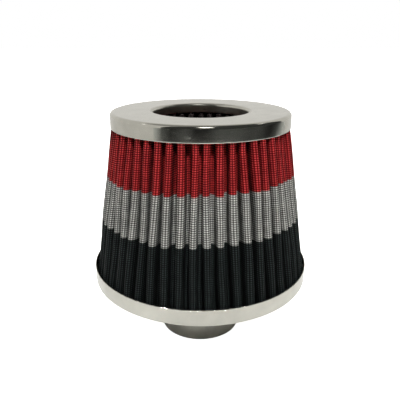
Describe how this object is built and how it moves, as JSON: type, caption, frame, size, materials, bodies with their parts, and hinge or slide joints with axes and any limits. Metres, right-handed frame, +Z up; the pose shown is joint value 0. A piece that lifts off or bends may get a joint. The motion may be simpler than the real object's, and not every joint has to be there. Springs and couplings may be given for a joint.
{
  "type": "pleated cone air filter",
  "caption": "Upright conical air filter with pleated screen-faced cloth in colour bands, polished ring caps, an inverted inner cone in the top hole and a plain tube neck.",
  "frame": {"origin": "centre of the neck's open lower end, on the plane the filter stands on", "axes": "+Z up along the neck and cone axis, from the neck to the top ring; the cone is round, so X and Y are free"},
  "size_m": [0.15, 0.15, 0.1585],
  "materials": {
    "polished_caps": "polished pressed metal with fine wear marks",
    "satin_neck": "satin",
    "end_metal": "plain pressed",
    "banded_cloth": "screen-faced cotton cloth in red, silver-grey and black bands",
    "red_cloth": "screen-faced cotton cloth, dark red",
    "resin": "matt moulded resin"
  },
  "bodies": {
    "root": {"top_cap": "polished_caps", "top_potting": "resin", "outer_pleats": "banded_cloth", "inner_pleats": "red_cloth", "inner_end_plate": "end_metal", "inner_potting": "resin", "base_potting": "resin", "base_cap": "polished_caps", "inlet_neck": "satin_neck"}
  },
  "joints": []
}
